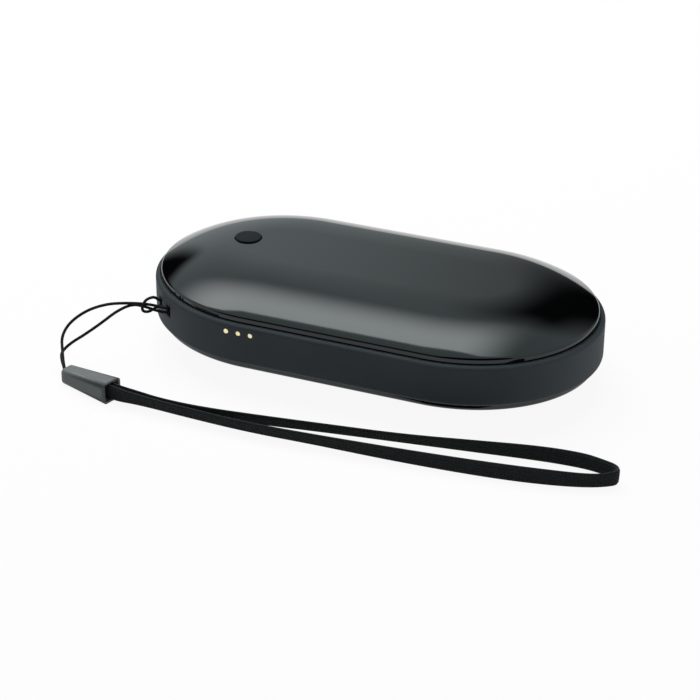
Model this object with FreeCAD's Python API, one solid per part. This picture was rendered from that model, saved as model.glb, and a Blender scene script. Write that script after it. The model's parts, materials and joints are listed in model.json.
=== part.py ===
import FreeCAD, Part
import math
import os

# Rechargeable hand warmer: two crowned metal covers on a moulded band, with a cell, heaters,
# a board and a push switch inside, and a wrist lanyard hitched to the eye of the band.
# Origin at the middle of the bottom flat, +X along the body away from the lanyard eye,
# +Y away from the lamps, +Z up. Sizes in millimetres.

Vec = FreeCAD.Vector

# Body outline and covers
body_length = 110.0
body_width = 60.0
end_length = 33.2
band_height = 10.0
band_edge_radius = 1.0
cover_rise = 7.2
cover_wall = 1.0
cover_skirt = 1.4
cover_edge_round = 0.8
crown_flat_half = 10.0
crown_power_share = 2.2
crown_step_count = 6
parting_gap = 0.3
parting_lip = 0.1
parting_depth = 0.6
cut_overrun = 1.0

# Band
band_wall = 2.4
flange_thickness = 1.6
flange_reach = 5.0
shelf_reach = 8.0
screw_boss_radius = 2.3
screw_boss_drop = 1.6

# Lanyard eye
eye_from_tip = 9.4
eye_depth = 0.75
eye_post_radius = 1.55
eye_tunnel_radius = 3.7
eye_boss_radius = 4.9
eye_opening = 2.9
eye_from_band_top = 4.1

# Fits
press_gap = 0.05
slide_gap = 0.08
loose_gap = 0.4

# Gaskets between covers and band
gasket_outer_inset = 3.6
gasket_inner_inset = 4.8
gasket_height = 0.6

# Heater films
film_glue = 0.1
film_thickness = 0.25
film_margin = 9.0
sensor_from_tip = 35.0
sensor_length = 1.6
sensor_width = 0.9
sensor_height = 0.8

# Cell and its protection board
cell_from_board = 6.0
cell_end_clearance = 22.0
cell_side_clearance = 11.0
cell_thickness = 10.0
cell_edge_radius = 1.5
ledge_length = 3.6
ledge_inset = 2.0
ledge_thickness = 0.4
tab_width = 5.0
tab_inset = 2.5
tab_thickness = 0.15
guard_inset = 2.0
guard_thickness = 0.8
cell_gap = 0.3

# Insulation pads
pad_end_inset = 4.0
pad_side_inset = 3.0
pad_corner_radius = 3.0
upper_pad_height = 4.0
lower_pad_height = 2.8

# Chassis
chassis_inset = 5.5
chassis_thickness = 1.2
tray_wall = 1.2
tray_floor = 1.0
tray_hang = 2.8
tray_rise = 3.0
tray_middle_bar = 4.0
tray_end_bar = 5.15
tray_side_bar = 6.3
tray_rib_thickness = 1.0
tray_rib_rise = 2.0
tray_rib_pitch = 9.0
chassis_screw_inset = 7.2
chassis_screw_front_gap = 1.0
chassis_screw_back_gap = 11.0
chassis_screw_radius = 0.9
chassis_screw_length = 3.8
chassis_head_radius = 1.8
chassis_head_height = 1.2
recess_width_share = 0.25
recess_length_share = 1.3
recess_depth_share = 0.5

# Main board
board_inset = 5.4
board_lift = 3.6
board_thickness = 1.0
board_end_from_tip = 28.0
finger_overhang = 2.25
finger_width = 3.7
nose_from_tip = 3.6
nose_width = 11.2
board_post_from_end = 3.0
board_post_inset = 11.0
tail_post_from_tip = 12.0
tail_post_width_share = 0.4
board_post_radius = 1.8
board_screw_radius = 0.7
board_screw_length = 3.4
board_head_radius = 1.4
board_head_height = 0.9

# Charging inlet
inlet_width = 8.94
inlet_height = 3.26
inlet_length = 7.35
inlet_wall = 0.3
inlet_from_tip = 0.7
inlet_gap = 0.2
tongue_width = 6.69
tongue_thickness = 0.7
tongue_length = 4.5
tongue_base = 1.6
contact_count = 12
contact_pitch = 0.5
contact_width = 0.26
contact_length = 3.6
contact_height = 0.06

# Lamps and light pipe
lamp_past_side_end = 0.3
lamp_pitch = 3.05
lamp_count = 3
lamp_from_band_top = 2.1
pipe_radius = 0.55
pipe_bar_depth = 2.2
pipe_bar_height = 1.2
pipe_bar_overhang = 1.0
pipe_tip_round = 0.2
led_length = 1.8
led_depth = 1.2
led_height = 1.0

# Push switch
switch_side = 6.0
switch_height = 2.6
switch_floor = 0.6
switch_bore_radius = 2.2
switch_plate_thickness = 0.3
switch_plate_overhang = 0.1
dome_radius = 2.0
dome_rise = 0.45
dome_thickness = 0.1
plunger_head_radius = 2.0
plunger_head_height = 1.3
plunger_radius = 1.7
plunger_reach = 1.6

# Button
button_from_tip = 21.8
button_radius = 3.15
button_hole_gap = 0.2
button_proud = 0.35
button_crown = 0.15
button_edge_round = 0.2
button_flange_radius = 4.2
button_flange_height = 0.7
button_flange_drop = 2.1
button_stem_radius = 1.6

# Parts on the board
coil_side = 5.0
coil_height = 3.0
coil_round = 0.8
coil_from_tip = 14.0
coil_from_post = 5.5
chip_side = 4.0
chip_height = 0.9
chip_from_tip = 17.0
chip_offset = -8.0
driver_length = 5.0
driver_width = 3.9
driver_height = 1.4
driver_from_end = 4.0
driver_from_post = 7.0
capacitor_length = 2.0
capacitor_width = 1.25
capacitor_height = 1.0
capacitor_from_tip = 14.6
capacitor_from_post = 0.8
capacitor_pitch = 2.2
capacitor_count = 4

# Wires inside
cell_wire_radius = 0.6
cell_wire_rise = 2.8
heater_wire_radius = 0.4
heater_wire_offset = 3.2
heater_wire_past_end = 1.0
heater_wire_shift = 3.2
wire_slot_length = 3.0
bend_share = 0.45

# Lanyard
cord_radius = 0.35
cord_hole_depth = 2.0
cord_pitch = 1.0
cord_hole_gap = 0.15
strap_width = 4.1
strap_thickness = 0.9
strap_seat_depth = 3.5
bead_tail_x = -61.2
bead_tail_y = -41.2
bead_mouth_x = -46.9
bead_mouth_y = -45.4
bead_mouth_width = 5.5
bead_mouth_height = 5.2
bead_mouth_round = 0.9
bead_tail_width = 4.0
bead_tail_height = 4.0
bead_tail_round = 1.1
bead_wall = 0.5
bead_cheek = 0.6
bead_tail_edge_round = 0.7
bead_round_count = 3

# Thin cord, from the bead round the post of the eye, through its own bight and back
cord_route = [
    (-59.34, -41.74, 2.4), (-61.5, -41.11, 2.4), (-62.9, -39.4, 3.5), (-65.0, -36.0, 4.8),
    (-66.8, -33.0, 6.6), (-66.0, -30.4, 9.2), (-62.6, -28.0, 12.0), (-58.2, -26.4, 13.8),
    (-54.2, -25.3, 14.4), (-50.1, -24.2, 14.6), (-47.0, -23.2, 14.3), (-44.13, -22.52, 13.65),
    (-42.75, -20.75, 13.65), (-43.44, -18.6, 13.65), (-45.65, -17.99, 13.65), (-47.35, -19.47, 13.65),
    (-48.1, -20.7, 15.1), (-48.6, -22.4, 15.5), (-48.8, -24.2, 15.6), (-49.1, -25.4, 14.4),
    (-49.1, -24.9, 13.0), (-48.6, -23.2, 12.2), (-48.5, -21.2, 11.9), (-47.35, -19.47, 12.55),
    (-45.65, -17.99, 12.55), (-43.44, -18.6, 12.55), (-42.75, -20.75, 12.55), (-44.13, -22.52, 12.55),
    (-46.4, -23.2, 12.95), (-49.2, -23.8, 13.8), (-52.4, -24.0, 13.9), (-54.9, -27.2, 13.0),
    (-57.4, -30.1, 10.8), (-60.8, -32.5, 8.1), (-64.2, -33.6, 5.6), (-65.6, -35.6, 3.9),
    (-64.4, -37.6, 3.1), (-62.8, -39.4, 2.3), (-61.5, -41.11, 1.4), (-59.34, -41.74, 1.4),
]

# Flat strap on its edge, out of the bead's mouth, round its far loop and back
strap_route = [
    (-50.38, -45.0), (-46.4, -46.1), (-40.0, -46.0), (-28.0, -46.7), (-12.0, -47.4),
    (4.0, -46.5), (20.0, -45.7), (35.0, -44.5), (48.0, -43.0), (57.5, -41.3),
    (63.8, -39.8), (67.8, -38.2), (70.8, -35.6), (69.6, -33.6), (66.6, -32.6),
    (61.5, -31.7), (52.0, -32.5), (38.0, -35.2), (22.0, -38.2), (6.0, -40.6),
    (-10.0, -43.2), (-24.0, -45.2), (-34.0, -45.3), (-40.0, -44.9), (-46.1, -45.0),
    (-50.04, -43.85),
]

# Levels and places that follow from the sizes
tip = -body_length / 2
side_half = body_length / 2 - end_length
width_half = body_width / 2
band_bottom = cover_rise
band_top = cover_rise + band_height
body_height = band_height + 2 * cover_rise
groove_inset = band_edge_radius + parting_lip
rim_inset = groove_inset + parting_gap
crown_run = width_half - crown_flat_half
shelf = band_bottom + flange_thickness
ceiling = band_top - flange_thickness
plate_top = shelf + chassis_thickness
tray_bottom = shelf - tray_hang
tray_top = plate_top + tray_rise
cell_bottom = tray_bottom + tray_floor
cell_top = cell_bottom + cell_thickness
board_end = tip + board_end_from_tip
cell_start = board_end + cell_from_board
cell_length = -tip - cell_end_clearance - cell_start
cell_width = body_width - 2 * cell_side_clearance
cell_middle = cell_start + cell_length / 2
ledge_width = cell_width - 2 * ledge_inset
guard_width = ledge_width - 2 * guard_inset
tab_offset = guard_width / 2 - tab_inset - tab_width / 2
pad_length = cell_length - 2 * pad_end_inset
pad_width = cell_width - 2 * pad_side_inset
ledge_level = cell_bottom + cell_thickness / 2
guard_bottom = ledge_level + ledge_thickness / 2 + tab_thickness
guard_top = guard_bottom + guard_thickness
board_bottom = plate_top + board_lift
board_top = board_bottom + board_thickness
inlet_level = board_bottom - inlet_height / 2
inlet_start = tip + inlet_from_tip
board_post_offset = width_half - board_post_inset
tail_post_offset = tail_post_width_share * width_half
heater_wire_x = board_end + heater_wire_past_end
lamp_middle = -side_half - lamp_past_side_end
lamp_level = band_top - lamp_from_band_top
button_x = tip + button_from_tip
film_skin = cover_wall + film_glue
film_face = body_height - film_skin - film_thickness
switch_top = board_top + switch_height
dome_bottom = board_top + switch_floor
plunger_bottom = dome_bottom + dome_rise + dome_thickness + press_gap
plunger_shoulder = plunger_bottom + plunger_head_height
plunger_top = switch_top + switch_plate_thickness + plunger_reach
button_bottom = plunger_top + press_gap
button_flange_top = body_height - button_flange_drop
button_top = body_height + button_proud


# Shared shapes
def quarter(start, corner, finish):
    """Quarter of an ellipse between two points, with the corner of its box."""
    curve = Part.BezierCurve()
    curve.setPoles([start, corner, finish])
    curve.setWeight(2, math.cos(math.pi / 4))
    return curve.toShape()


def outline(inset, level):
    """Plan outline of the body drawn inset: straight sides and half-ellipse ends."""
    reach = end_length - inset
    half = width_half - inset
    edges = []
    for turn in (1, -1):
        start = Vec(turn * side_half, -turn * half, level)
        far = Vec(turn * (side_half + reach), 0, level)
        finish = Vec(turn * side_half, turn * half, level)
        edges.append(quarter(start, Vec(far.x, start.y, level), far))
        edges.append(quarter(far, Vec(far.x, finish.y, level), finish))
        edges.append(Part.makeLine(finish, Vec(-turn * side_half, finish.y, level)))
    return Part.Wire(edges)


def slab(inset, bottom, top):
    """Upright prism on the inset outline."""
    return Part.Face(outline(inset, bottom)).extrude(Vec(0, 0, top - bottom))


def block(length, width, x, y, bottom, top):
    """Box centred on x and y."""
    corner = Vec(x - length / 2, y - width / 2, bottom)
    return Part.makeBox(length, width, top - bottom, corner)


def rod(radius, x, y, bottom, top):
    """Upright round rod."""
    return Part.makeCylinder(radius, top - bottom, Vec(x, y, bottom))


def upright_edges(solid):
    """Edges of a solid that stand upright."""
    return [edge for edge in solid.Edges if abs(edge.tangentAt(edge.FirstParameter).z) * 2 > 1]


def pill(width, height, start, level, length):
    """Bar along X with round sides."""
    round_off = height / 2
    flat = width / 2 - round_off
    upper = level + round_off
    lower = level - round_off
    edges = [
        Part.makeLine(Vec(start, -flat, upper), Vec(start, flat, upper)),
        Part.Arc(Vec(start, flat, upper), Vec(start, width / 2, level), Vec(start, flat, lower)).toShape(),
        Part.makeLine(Vec(start, flat, lower), Vec(start, -flat, lower)),
        Part.Arc(Vec(start, -flat, lower), Vec(start, -width / 2, level), Vec(start, -flat, upper)).toShape(),
    ]
    return Part.Face(Part.Wire(edges)).extrude(Vec(length, 0, 0))


def turned(points, x, y):
    """Solid turned round an upright axis from a half outline of radius and level."""
    corners = [Vec(x + radius, y, level) for radius, level in points]
    face = Part.Face(Part.makePolygon(corners + corners[:1]))
    return face.revolve(Vec(x, y, 0), Vec(0, 0, 1), 360)


def over_middle(solid):
    """The same solid below the middle of the band."""
    return solid.mirror(Vec(0, 0, body_height / 2), Vec(0, 0, 1))


def route(points):
    """Straight runs through the points, joined by tangent arcs, and the arcs' radii."""
    edges = []
    radii = []
    here = points[0]
    for before, corner, after in zip(points, points[1:], points[2:]):
        back = before - corner
        ahead = after - corner
        reach = bend_share * min(back.Length, ahead.Length)
        half_turn = (math.pi - back.getAngle(ahead)) / 2
        radius = reach / math.tan(half_turn)
        back.normalize()
        ahead.normalize()
        inward = (back + ahead).normalize()
        start = corner + back * reach
        middle = corner + inward * (radius / math.cos(half_turn) - radius)
        finish = corner + ahead * reach
        edges.append(Part.LineSegment(here, start).toShape())
        edges.append(Part.Arc(start, middle, finish).toShape())
        here = finish
        radii.append(radius)
    edges.append(Part.LineSegment(here, points[-1]).toShape())
    return Part.Wire(edges), radii


def swept(name, points, section, area):
    """Section swept along a route; prints the route's length, tightest arc and volume."""
    path, radii = route(points)
    solid = path.makePipeShell([section], True, False)
    sums = (name, path.Length, min(radii), solid.Volume, area * path.Length)
    print("%s: length %.2f, tightest arc %.2f, volume %.2f of %.2f" % sums)
    print(name, "arcs", " ".join("%.2f" % radius for radius in radii))
    return solid


def wire_tube(name, points, radius):
    """Round wire along a route."""
    ring = Part.Wire(Part.Circle(points[0], points[1] - points[0], radius).toShape())
    return swept(name, points, ring, math.pi * radius ** 2)


# Covers, gaskets and heaters
def crown(skin):
    """Solid under the top cover's skirt and crown, with its faces drawn in by the skin."""
    first = skin / crown_run
    wires = []
    for step in range(crown_step_count + 1):
        share = first + (1 - first) * step / crown_step_count
        rise = cover_skirt + (cover_rise - cover_skirt) * (1 - (1 - share) ** crown_power_share)
        wires.append(outline(rim_inset + share * crown_run, band_top + rise - skin))
    skirt_top = wires[0].BoundBox.ZMax
    return slab(rim_inset + skin, band_top - cut_overrun, skirt_top).fuse(Part.makeLoft(wires, True))


def cover():
    """Crowned shell with a short upright skirt, a rounded edge above it and an open rim."""
    outer = crown(0)
    level = band_top + cover_skirt
    bend = [edge for edge in outer.Edges if abs(edge.BoundBox.Center.z - level) < cover_edge_round / 2]
    shell = outer.makeFillet(cover_edge_round, bend).cut(crown(cover_wall))
    return shell.cut(slab(0, band_top - 2 * cut_overrun, band_top))


def top_cover():
    """Upper cover with the round hole for the button."""
    hole = rod(button_radius + button_hole_gap, button_x, 0, band_top, body_height + cut_overrun)
    return cover().cut(hole)


def bottom_cover():
    """Lower cover, whole, with its flat at the bottom."""
    return over_middle(cover())


def gasket():
    """Adhesive foam ring on the band's upper flange."""
    outer = slab(gasket_outer_inset, band_top, band_top + gasket_height)
    return outer.cut(slab(gasket_inner_inset, band_top, band_top + gasket_height))


def lower_gasket():
    """Adhesive foam ring on the band's lower flange, clear of the tray."""
    return over_middle(gasket()).cut(tray_room())


def heater_film():
    """Curved film heater behind the upper cover."""
    film = crown(film_skin).cut(crown(film_skin + film_thickness))
    return film.common(slab(film_margin, band_top, body_height))


def upper_heater_film():
    """Upper film, open round the button."""
    gap = rod(button_flange_radius + loose_gap, button_x, 0, band_top, body_height)
    return heater_film().cut(gap)


def temperature_sensors():
    """One chip on the flat of each film."""
    chip = block(sensor_length, sensor_width, tip + sensor_from_tip, 0, film_face - sensor_height, film_face)
    return Part.makeCompound([chip, over_middle(chip)])


# Band
def eye_axis():
    """Middle of the post of the lanyard eye, set in from the wall."""
    run = (end_length - eye_from_tip) / end_length
    point = Vec(tip + eye_from_tip, -width_half * math.sqrt(1 - run ** 2), 0)
    slope = Vec((point.x + side_half) / end_length ** 2, point.y / width_half ** 2, 0)
    return point - slope.normalize() * eye_depth


def chassis_screw_places():
    """The four screw axes along the straight sides."""
    offset = width_half - chassis_screw_inset
    front = side_half - chassis_screw_front_gap
    back = chassis_screw_back_gap - side_half
    return [(x, y) for x in (front, back) for y in (-offset, offset)]


def lamp_places():
    """The lamps' places along the band."""
    first = lamp_middle - lamp_pitch * (lamp_count - 1) / 2
    return [first + lamp_pitch * index for index in range(lamp_count)]


def front_rod(radius, x, start, finish):
    """Round rod along Y at the level of the lamps."""
    return Part.makeCylinder(radius, finish - start, Vec(x, start, lamp_level), Vec(0, 1, 0))


def parting_groove():
    """Narrow ring cut round the upper cover's rim."""
    bottom = band_top - parting_depth
    top = band_top + cut_overrun
    return slab(groove_inset, bottom, top).cut(slab(rim_inset, bottom, top))


def mid_frame():
    """Moulded band: rounded wall, parting grooves, flanges, eye, bosses, lamp holes and inlet slot."""
    outer = slab(0, band_bottom, band_top)
    rims = [edge for edge in outer.Edges if edge.BoundBox.ZLength < band_edge_radius]
    outer = outer.makeFillet(band_edge_radius, rims)
    outer = outer.cut(parting_groove()).cut(over_middle(parting_groove()))
    ring = outer.cut(slab(band_wall, shelf, ceiling))
    ring = ring.cut(slab(flange_reach, shelf, band_top + cut_overrun))
    ring = ring.cut(slab(shelf_reach, band_bottom - cut_overrun, ceiling))
    axis = eye_axis()
    ring = ring.fuse(rod(eye_boss_radius, axis.x, axis.y, shelf, ceiling).common(outer))
    eye_top = band_top - eye_from_band_top + eye_opening / 2
    eye_bottom = eye_top - eye_opening
    tunnel = rod(eye_tunnel_radius, axis.x, axis.y, eye_bottom, eye_top)
    ring = ring.cut(tunnel.cut(rod(eye_post_radius, axis.x, axis.y, eye_bottom, eye_top)))
    for x, y in chassis_screw_places():
        ring = ring.fuse(rod(screw_boss_radius, x, y, band_bottom - screw_boss_drop, shelf))
        pilot_bottom = plate_top - chassis_screw_length
        ring = ring.cut(rod(chassis_screw_radius + press_gap, x, y, pilot_bottom, ceiling))
    ring = ring.cut(tray_room())
    for x in lamp_places():
        hole = front_rod(pipe_radius + press_gap, x, -width_half - cut_overrun, flange_reach - width_half)
        ring = ring.cut(hole)
    slot_width = inlet_width + 2 * inlet_gap
    slot_height = inlet_height + 2 * inlet_gap
    slot = pill(slot_width, slot_height, tip - cut_overrun, inlet_level, band_wall + 2 * cut_overrun)
    return ring.cut(slot).removeSplitter()


# Chassis
def screw(x, y, seat, head_radius, head_height, shank_radius, length):
    """Pan head screw with a cross recess, its head on the seat."""
    body = rod(head_radius, x, y, seat, seat + head_height).fuse(rod(shank_radius, x, y, seat - length, seat))
    arm = recess_length_share * head_radius
    width = recess_width_share * head_radius
    floor = seat + head_height * (1 - recess_depth_share)
    body = body.cut(block(arm, width, x, y, floor, seat + head_height))
    return body.cut(block(width, arm, x, y, floor, seat + head_height))


def board_post_places():
    """Axes of the three board posts."""
    front = board_end - board_post_from_end
    tail = tip + tail_post_from_tip
    return [(front, board_post_offset), (front, -board_post_offset), (tail, tail_post_offset)]


def tray_span():
    """Start, length and width of the tray's inside."""
    start = cell_start - ledge_length - loose_gap
    length = cell_start + cell_length + cell_gap - start
    return start, length, cell_width + 2 * cell_gap


def tray_room():
    """Space that the tray takes where it hangs through the band."""
    start, length, width = tray_span()
    grow = 2 * (tray_wall + loose_gap)
    bottom = band_bottom - screw_boss_drop
    return block(length + grow, width + grow, start + length / 2, 0, bottom, plate_top)


def inner_chassis():
    """Plate on the band's shelf with a hung tray for the cell, ribs and board posts."""
    start, length, width = tray_span()
    middle = start + length / 2
    plate = slab(chassis_inset, shelf, plate_top)
    tray = block(length + 2 * tray_wall, width + 2 * tray_wall, middle, 0, tray_bottom, tray_top)
    body = plate.fuse(tray)
    for place in (-1, 0, 1):
        x = middle + place * tray_rib_pitch
        rib_length = 2 * (width_half - chassis_inset)
        body = body.fuse(block(tray_rib_thickness, rib_length, x, 0, plate_top, plate_top + tray_rib_rise))
    body = body.cut(block(length, width, middle, 0, cell_bottom, tray_top))
    window_length = (length - tray_middle_bar) / 2 - tray_end_bar
    window_width = width - 2 * tray_side_bar
    for place in (-1, 1):
        x = middle + place * (window_length + tray_middle_bar) / 2
        body = body.cut(block(window_length, window_width, x, 0, tray_bottom, cell_bottom))
    for x, y in board_post_places():
        post = rod(board_post_radius, x, y, shelf, board_bottom)
        pilot_bottom = board_top - board_screw_length
        body = body.fuse(post).cut(rod(board_screw_radius + press_gap, x, y, pilot_bottom, board_bottom))
    for x, y in chassis_screw_places():
        body = body.cut(rod(chassis_screw_radius + cell_gap, x, y, shelf, plate_top))
        body = body.cut(rod(chassis_head_radius + cell_gap, x, y, plate_top, tray_top))
    slot_width = 2 * (heater_wire_offset + heater_wire_radius + loose_gap)
    slot_x = heater_wire_x - heater_wire_shift
    wire_slot = block(wire_slot_length, slot_width, slot_x, 0, shelf, plate_top)
    axis = eye_axis()
    boss = rod(eye_boss_radius + loose_gap, axis.x, axis.y, shelf, tray_top)
    return body.cut(wire_slot).cut(boss).removeSplitter()


def chassis_screws():
    """Four screws through the plate into the band."""
    sizes = (plate_top, chassis_head_radius, chassis_head_height, chassis_screw_radius, chassis_screw_length)
    return Part.makeCompound([screw(x, y, *sizes) for x, y in chassis_screw_places()])


# Cell and insulation
def battery_cell():
    """Pouch cell with its sealed ledge."""
    body = block(cell_length, cell_width, cell_middle, 0, cell_bottom, cell_top)
    body = body.makeFillet(cell_edge_radius, body.Edges)
    ledge_x = cell_start - ledge_length / 2
    half = ledge_thickness / 2
    ledge = block(ledge_length, ledge_width, ledge_x, 0, ledge_level - half, ledge_level + half)
    return body.fuse(ledge).removeSplitter()


def battery_tabs():
    """Two strips on the ledge."""
    bottom = ledge_level + ledge_thickness / 2
    x = cell_start - ledge_length / 2
    return Part.makeCompound([
        block(ledge_length, tab_width, x, place * tab_offset, bottom, bottom + tab_thickness)
        for place in (-1, 1)
    ])


def battery_protection_board():
    """Small board on the tabs."""
    return block(ledge_length, guard_width, cell_start - ledge_length / 2, 0, guard_bottom, guard_top)


def cell_lead(name, place):
    """Wire from the protection board over the tray wall to the main board."""
    y = place * tab_offset
    start_x = cell_start - ledge_length / 2
    finish_x = board_end - 2 * cell_wire_radius
    crest = board_top + cell_wire_rise
    points = [
        Vec(start_x, y, guard_top),
        Vec(start_x, y, crest),
        Vec(finish_x, y, crest),
        Vec(finish_x, y, board_top),
    ]
    return wire_tube(name, points, cell_wire_radius)


def insulation_pad(bottom, height):
    """Foam pad with rounded corners."""
    pad = block(pad_length, pad_width, cell_middle, 0, bottom, bottom + height)
    return pad.makeFillet(pad_corner_radius, upright_edges(pad))


def heater_lead(place):
    """Wire from the upper film to the top of the board."""
    y = place * heater_wire_offset
    top_x = heater_wire_x
    foot_x = top_x - heater_wire_shift
    middle = (film_face + board_top) / 2
    drop = heater_wire_shift / 2
    points = [
        Vec(top_x, y, film_face),
        Vec(top_x, y, middle + drop),
        Vec(foot_x, y, middle - drop),
        Vec(foot_x, y, board_top),
    ]
    return wire_tube("upper heater lead", points, heater_wire_radius)


def lower_heater_lead(place):
    """Wire from the lower film through the chassis to the underside of the board."""
    y = place * heater_wire_offset
    foot_x = heater_wire_x
    top_x = foot_x - heater_wire_shift
    low = body_height - film_face
    middle = (low + shelf) / 2
    drop = heater_wire_shift / 2
    points = [
        Vec(foot_x, y, low),
        Vec(foot_x, y, middle - drop),
        Vec(top_x, y, middle + drop),
        Vec(top_x, y, board_bottom),
    ]
    return wire_tube("lower heater lead", points, heater_wire_radius)


# Main board
def circuit_board():
    """Board that follows the end of the body, with a nose under the inlet and a finger to the lamps."""
    board = slab(board_inset, board_bottom, board_top)
    keep = Part.makeBox(board_end_from_tip, body_width, board_thickness, Vec(tip, -width_half, board_bottom))
    board = board.common(keep)
    nose_x = tip + nose_from_tip
    nose_corner = Vec(nose_x, -nose_width / 2, board_bottom)
    nose = Part.makeBox(board_end - nose_x, nose_width, board_thickness, nose_corner)
    finger_start = board_end - board_post_radius
    finger_length = lamp_places()[-1] + finger_overhang - finger_start
    edge = board_inset - width_half
    finger = Part.makeBox(finger_length, finger_width, board_thickness, Vec(finger_start, edge, board_bottom))
    board = board.fuse(nose).fuse(finger.common(slab(board_inset, board_bottom, board_top)))
    axis = eye_axis()
    board = board.cut(rod(eye_boss_radius + loose_gap, axis.x, axis.y, board_bottom, board_top))
    for x, y in board_post_places():
        board = board.cut(rod(board_screw_radius + cell_gap, x, y, board_bottom, board_top))
    return board.removeSplitter()


def board_screws():
    """Three screws through the board into its posts."""
    sizes = (board_top, board_head_radius, board_head_height, board_screw_radius, board_screw_length)
    return Part.makeCompound([screw(x, y, *sizes) for x, y in board_post_places()])


def power_inductor():
    """Square coil with rounded corners."""
    y = tail_post_offset - coil_from_post
    coil = block(coil_side, coil_side, tip + coil_from_tip, y, board_top, board_top + coil_height)
    return coil.makeFillet(coil_round, upright_edges(coil))


def main_controller():
    """Flat square chip."""
    return block(chip_side, chip_side, tip + chip_from_tip, chip_offset, board_top, board_top + chip_height)


def driver_chips():
    """Two heater drivers, one on each side of the board."""
    x = board_end - driver_from_end
    offset = board_post_offset - driver_from_post
    return Part.makeCompound([
        block(driver_width, driver_length, x, place * offset, board_top, board_top + driver_height)
        for place in (-1, 1)
    ])


def board_capacitors():
    """Row of chip capacitors."""
    x = tip + capacitor_from_tip
    y = tail_post_offset - capacitor_from_post
    return Part.makeCompound([
        block(capacitor_width, capacitor_length, x + index * capacitor_pitch, y, board_top,
              board_top + capacitor_height)
        for index in range(capacitor_count)
    ])


# Charging inlet
def usb_shell():
    """Drawn metal shell, open at the front."""
    outer = pill(inlet_width, inlet_height, inlet_start, inlet_level, inlet_length)
    width = inlet_width - 2 * inlet_wall
    height = inlet_height - 2 * inlet_wall
    return outer.cut(pill(width, height, inlet_start, inlet_level, inlet_length - inlet_wall))


def usb_tongue():
    """Moulded base with the tongue in the middle of the shell."""
    gap = 2 * (inlet_wall + press_gap)
    back = inlet_start + inlet_length - inlet_wall
    base = pill(inlet_width - gap, inlet_height - gap, back - tongue_base, inlet_level, tongue_base)
    half = tongue_thickness / 2
    x = back - tongue_base - tongue_length / 2
    tongue = block(tongue_length, tongue_width, x, 0, inlet_level - half, inlet_level + half)
    return base.fuse(tongue).removeSplitter()


def usb_contacts():
    """Contact strips on both faces of the tongue."""
    x = inlet_start + inlet_length - inlet_wall - tongue_base - contact_length / 2
    first = -contact_pitch * (contact_count - 1) / 2
    upper = inlet_level + tongue_thickness / 2
    lower = inlet_level - tongue_thickness / 2
    strips = []
    for index in range(contact_count):
        y = first + index * contact_pitch
        strips.append(block(contact_length, contact_width, x, y, upper, upper + contact_height))
        strips.append(block(contact_length, contact_width, x, y, lower - contact_height, lower))
    return Part.makeCompound(strips)


# Lamps
def light_pipe():
    """Clear bar behind the wall with one round pin to each lamp hole."""
    back = -width_half + flange_reach + press_gap
    length = lamp_pitch * (lamp_count - 1) + 2 * pipe_bar_overhang
    bar_top = ceiling - press_gap
    bar_y = back - pipe_bar_depth / 2
    pipe = block(length, pipe_bar_depth, lamp_middle, bar_y, bar_top - pipe_bar_height, bar_top)
    for x in lamp_places():
        pin = front_rod(pipe_radius, x, -width_half, bar_y)
        ends = [edge for edge in pin.Edges if edge.BoundBox.YMax < pipe_tip_round - width_half]
        pipe = pipe.fuse(pin.makeFillet(pipe_tip_round, ends))
    return pipe.removeSplitter()


def indicator_leds():
    """Side-facing lamps at the edge of the board's finger."""
    y = board_inset - width_half + led_depth / 2
    return Part.makeCompound([
        block(led_length, led_depth, x, y, board_top, board_top + led_height) for x in lamp_places()
    ])


# Switch and button
def switch_base():
    """Square base with a round well."""
    base = block(switch_side, switch_side, button_x, 0, board_top, switch_top)
    return base.cut(rod(switch_bore_radius, button_x, 0, dome_bottom, switch_top))


def switch_cover_plate():
    """Metal plate that holds the plunger in."""
    side = switch_side + 2 * switch_plate_overhang
    plate = block(side, side, button_x, 0, switch_top, switch_top + switch_plate_thickness)
    hole = rod(plunger_radius + slide_gap, button_x, 0, switch_top, switch_top + switch_plate_thickness)
    return plate.cut(hole)


def cap_ball(rise, level):
    """Part of a ball that stands above the well's floor."""
    radius = (dome_radius ** 2 + rise ** 2) / (2 * rise)
    ball = Part.makeSphere(radius, Vec(button_x, 0, level + rise - radius))
    return ball.common(rod(dome_radius, button_x, 0, dome_bottom, switch_top))


def switch_dome():
    """Thin snap dome on the floor of the well."""
    inner = cap_ball(dome_rise, dome_bottom)
    outer = cap_ball(dome_rise, dome_bottom + dome_thickness)
    return outer.cut(inner)


def switch_plunger():
    """Plunger with a wide head under the plate."""
    return turned([
        (0, plunger_bottom), (plunger_head_radius, plunger_bottom), (plunger_head_radius, plunger_shoulder),
        (plunger_radius, plunger_shoulder), (plunger_radius, plunger_top), (0, plunger_top),
    ], button_x, 0)


def power_button():
    """Turned cap with a flange under the cover and a stem on the plunger."""
    flange_bottom = button_flange_top - button_flange_height
    body = turned([
        (0, button_bottom), (button_stem_radius, button_bottom), (button_stem_radius, flange_bottom),
        (button_flange_radius, flange_bottom), (button_flange_radius, button_flange_top),
        (button_radius, button_flange_top), (button_radius, button_top), (0, button_top + button_crown),
    ], button_x, 0)
    rims = [edge for edge in body.Edges if edge.BoundBox.ZMin > body_height and edge.Closed]
    return body.makeFillet(button_edge_round, rims)


# Lanyard
def lanyard_cord():
    """Thin cord hitched round the post of the eye."""
    return wire_tube("lanyard cord", [Vec(*point) for point in cord_route], cord_radius)


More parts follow.
